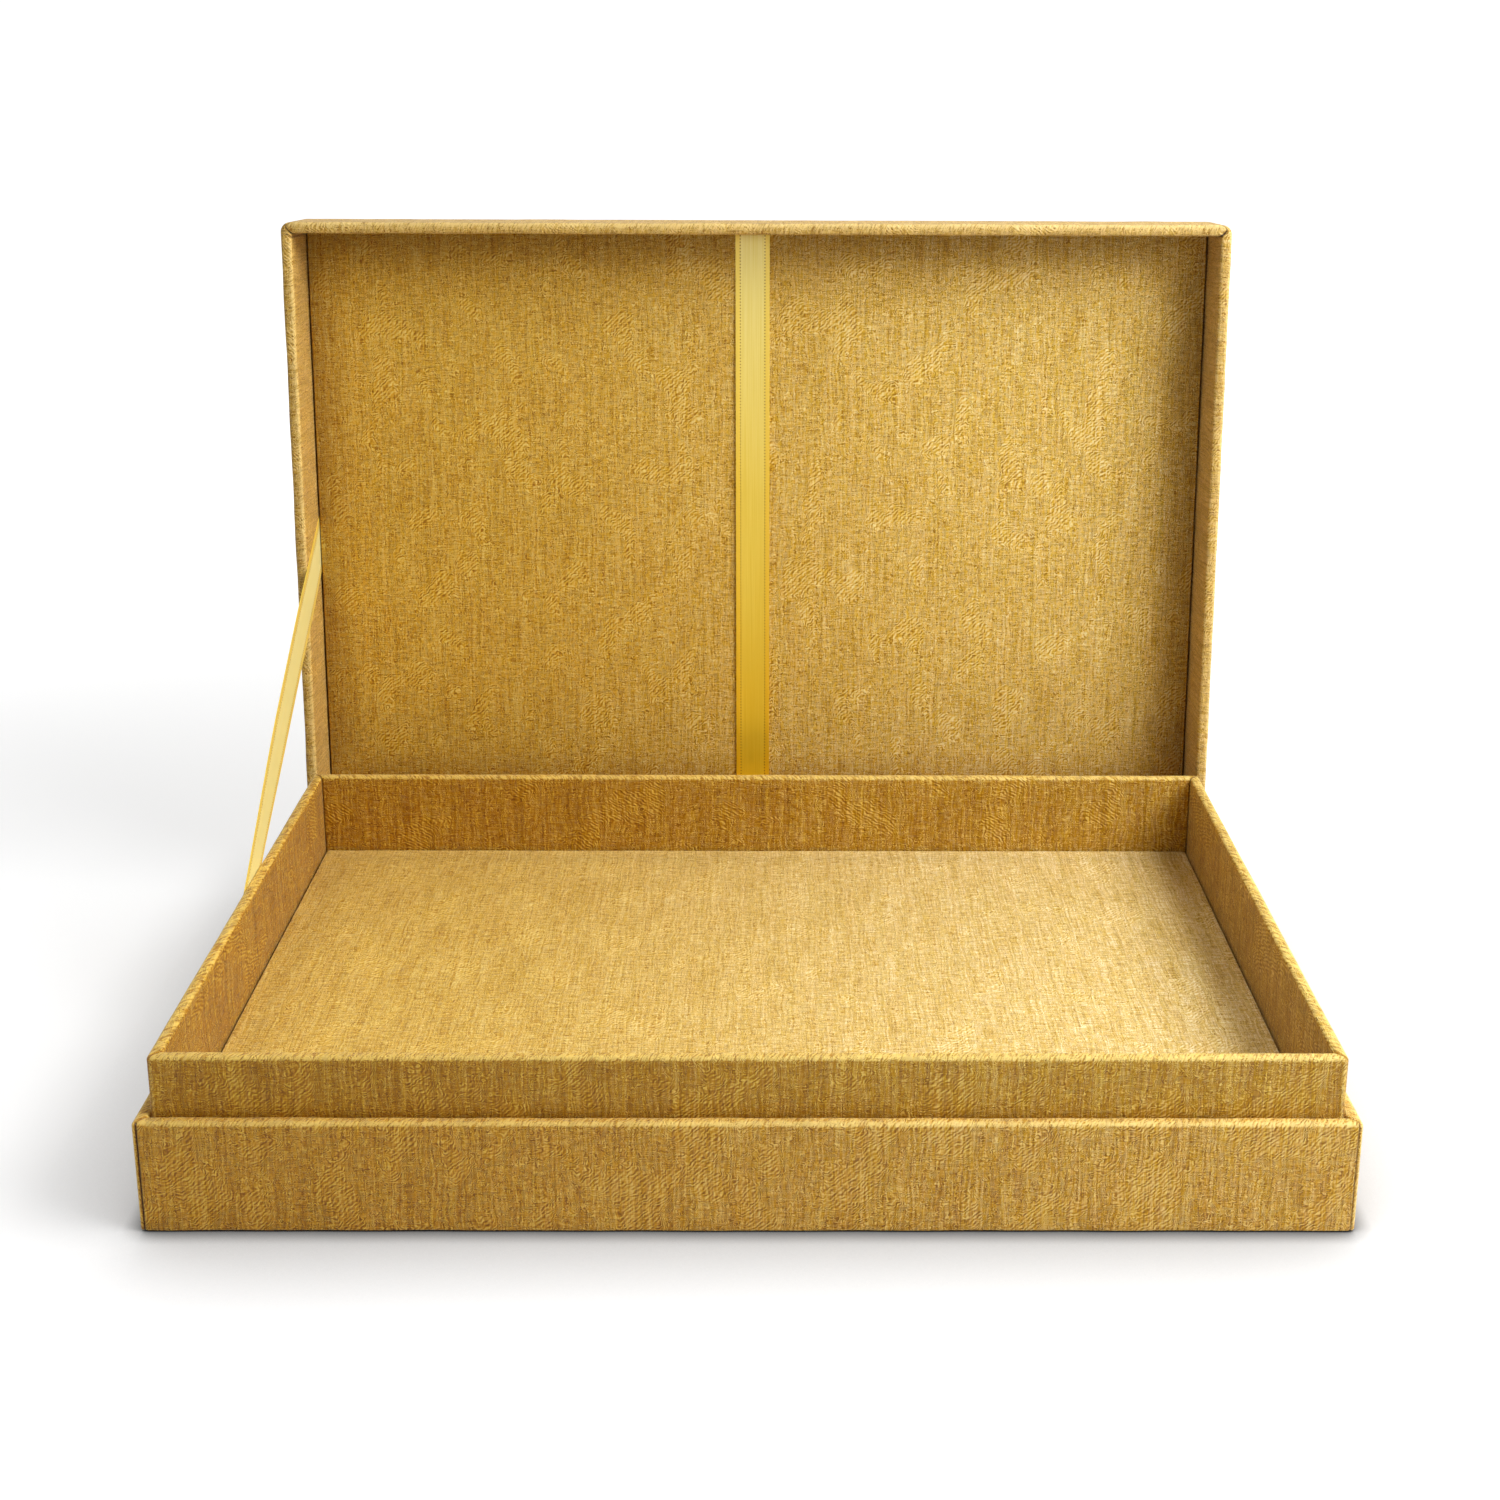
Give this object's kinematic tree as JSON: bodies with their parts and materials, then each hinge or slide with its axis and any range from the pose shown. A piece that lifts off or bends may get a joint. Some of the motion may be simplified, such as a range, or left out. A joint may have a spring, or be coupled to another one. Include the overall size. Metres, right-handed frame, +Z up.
{
  "type": "invitation box",
  "caption": "Hinged card box covered in slub silk, with a raised neck inside the base, a lined lid held open by a stay ribbon and a keeper ribbon for papers.",
  "frame": {"origin": "middle of the underside of the base, on the surface that the box stands on", "axes": "+X along the box's width to the right as seen from the front, +Y from the front wall to the hinge, +Z up"},
  "size_m": [0.28, 0.2165, 0.2099],
  "materials": {
    "greyboard": "matt grey card",
    "base_silk": "antique gold slub silk",
    "neck_silk": "antique gold slub silk",
    "lid_silk": "antique gold slub silk",
    "panel_silk": "antique gold slub silk",
    "hinge_cloth": "antique gold slub silk",
    "keeper_satin": "yellow satin",
    "stay_satin": "pale yellow satin"
  },
  "bodies": {
    "base": {"base_back_board": "greyboard", "base_bottom_board": "greyboard", "base_bottom_cloth": "base_silk", "base_front_board": "greyboard", "base_front_wrap": "base_silk", "base_left_board": "greyboard", "base_left_wrap": "base_silk", "base_right_board": "greyboard", "base_right_wrap": "base_silk", "floor_board": "greyboard", "floor_cloth": "panel_silk", "inner_hinge_cloth": "hinge_cloth", "neck_back_board": "greyboard", "neck_back_wrap": "neck_silk", "neck_front_board": "greyboard", "neck_front_wrap": "neck_silk", "neck_left_board": "greyboard", "neck_left_wrap": "neck_silk", "neck_right_board": "greyboard", "neck_right_wrap": "neck_silk", "riser_back_strip": "greyboard", "riser_front_strip": "greyboard", "riser_left_strip": "greyboard", "riser_middle_strip": "greyboard", "riser_right_strip": "greyboard", "spine_cloth": "lid_silk", "stay_ribbon": "stay_satin"},
    "lid": {"keeper_ribbon": "keeper_satin", "lid_back_board": "greyboard", "lid_front_board": "greyboard", "lid_front_wrap": "lid_silk", "lid_left_board": "greyboard", "lid_left_wrap": "lid_silk", "lid_right_board": "greyboard", "lid_right_wrap": "lid_silk", "lid_top_board": "greyboard", "lid_top_cloth": "lid_silk", "lining_board": "greyboard", "lining_cloth": "panel_silk"}
  },
  "joints": [
    {"name": "lid_hinge", "type": "hinge", "parent": "base", "child": "lid", "pos_m": [0, 0.09055, 0.0284], "axis": [1, 0, 0], "range_deg": [0, 93.5], "deforming": ["spine_cloth", "inner_hinge_cloth", "stay_ribbon"]}
  ]
}
